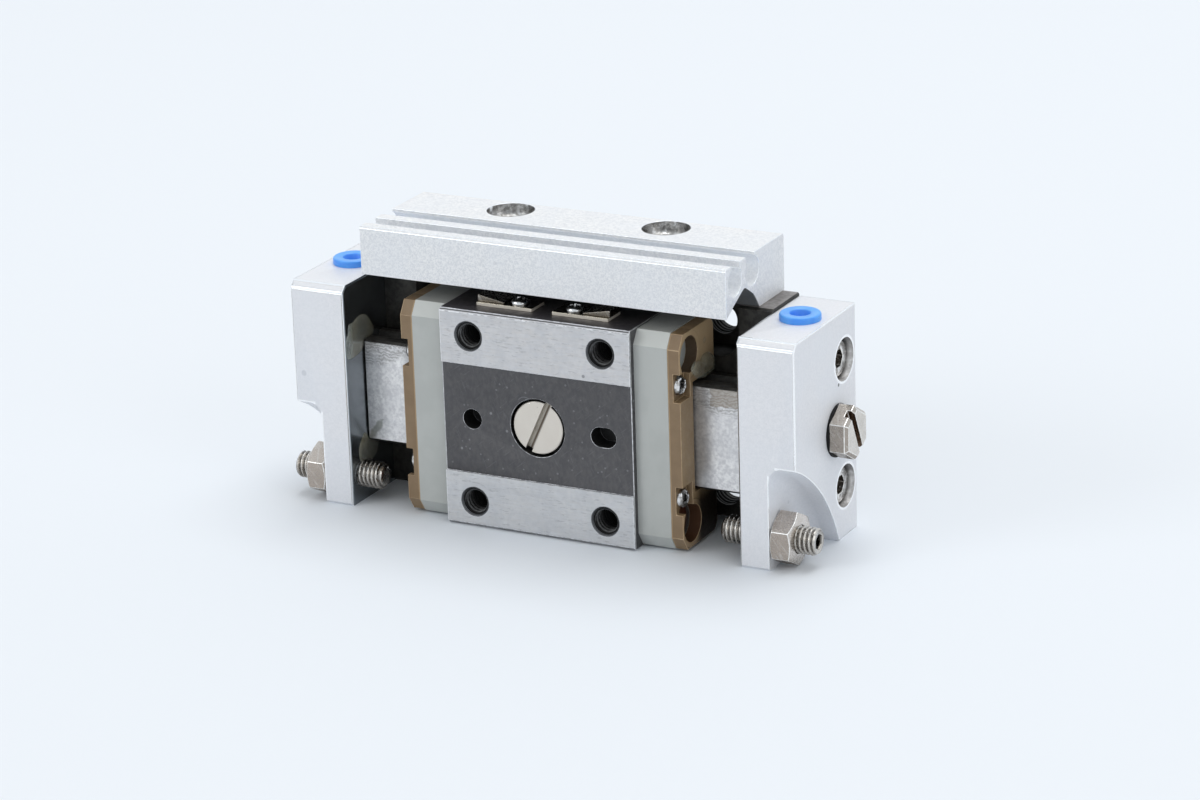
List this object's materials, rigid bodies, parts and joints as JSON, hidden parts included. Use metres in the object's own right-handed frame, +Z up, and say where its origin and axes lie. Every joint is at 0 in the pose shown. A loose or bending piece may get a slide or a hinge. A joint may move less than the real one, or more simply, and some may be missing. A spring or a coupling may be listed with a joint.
{
  "type": "pneumatic slide table",
  "caption": "Compact pneumatic slide table: a steel table on a ball guide with the cylinder in its rail, aluminium end blocks, stroke adjusters and a sensor rail.",
  "frame": {"origin": "centre of the bounding box in plan, at the underside that the slide stands on", "axes": "+X along the stroke, -Y out of the table face that carries the work, +Y out of the mounting face, +Z up towards the sensor rail"},
  "size_m": [0.0862, 0.0216, 0.0425],
  "materials": {
    "rail_steel": "dark scaled steel base, milled raised rail",
    "table_steel": "ground lands, dark steel centre",
    "anodised_aluminium": "sand-blasted silver anodised",
    "nickel": "warm nickel plated, satin",
    "drive_pin_nickel": "nickel plated, fine turned",
    "screw_steel": "bright zinc plated",
    "grey_plastic": "moulded greenish grey",
    "tan_plastic": "moulded tan",
    "blue_plastic": "soft translucent blue",
    "black_rubber": "matt black",
    "stop_urethane": "orange-brown urethane",
    "ball_steel": "polished bearing steel",
    "piston_aluminium": "turned",
    "magnet_plate_steel": "bright stamped steel",
    "magnet_metal": "nickel plated magnet"
  },
  "bodies": {
    "rail_and_blocks": {"guide_rail": "rail_steel", "end_block_right": "anodised_aluminium", "end_block_left": "anodised_aluminium", "bore_seal_rings": "black_rubber", "end_block_screws": "screw_steel", "port_gaskets": "black_rubber", "port_plug_right": "nickel", "port_plug_left": "nickel", "dust_plug_right": "blue_plastic", "dust_plug_left": "blue_plastic", "switch_rail": "anodised_aluminium", "switch_rail_screws": "screw_steel"},
    "table": {"guide_block": "table_steel", "return_cap_right": "grey_plastic", "return_cap_left": "grey_plastic", "end_plate_right": "tan_plastic", "end_plate_left": "tan_plastic", "wiper_right": "black_rubber", "wiper_left": "black_rubber", "end_plate_screws": "screw_steel", "stop_pads": "stop_urethane", "upper_balls": "ball_steel", "lower_balls": "ball_steel", "drive_pin": "drive_pin_nickel", "piston": "piston_aluminium", "piston_seals": "black_rubber", "magnet_plates": "magnet_plate_steel", "magnets": "magnet_metal", "magnet_plate_screws": "screw_steel"},
    "adjuster_right": {"adjuster_right": "nickel"},
    "adjuster_left": {"adjuster_left": "nickel"},
    "lock_nut_right": {"lock_nut_right": "nickel"},
    "lock_nut_left": {"lock_nut_left": "nickel"}
  },
  "joints": [
    {"name": "table_slide", "type": "slide", "parent": "rail_and_blocks", "child": "table", "axis": [1, 0, 0], "range_m": [-0.0075, 0.0075]},
    {"name": "adjuster_right_slide", "type": "slide", "parent": "rail_and_blocks", "child": "adjuster_right", "axis": [1, 0, 0], "range_m": [0, 0.003]},
    {"name": "adjuster_left_slide", "type": "slide", "parent": "rail_and_blocks", "child": "adjuster_left", "axis": [-1, 0, 0], "range_m": [0, 0.003]},
    {"name": "lock_nut_right_turn", "type": "hinge", "parent": "rail_and_blocks", "child": "lock_nut_right", "pos_m": [0.0374, -0.0069, 0.0041], "axis": [1, 0, 0], "range_deg": [0, 90]},
    {"name": "lock_nut_left_turn", "type": "hinge", "parent": "rail_and_blocks", "child": "lock_nut_left", "pos_m": [-0.0374, -0.0069, 0.0041], "axis": [1, 0, 0], "range_deg": [0, 90]}
  ]
}
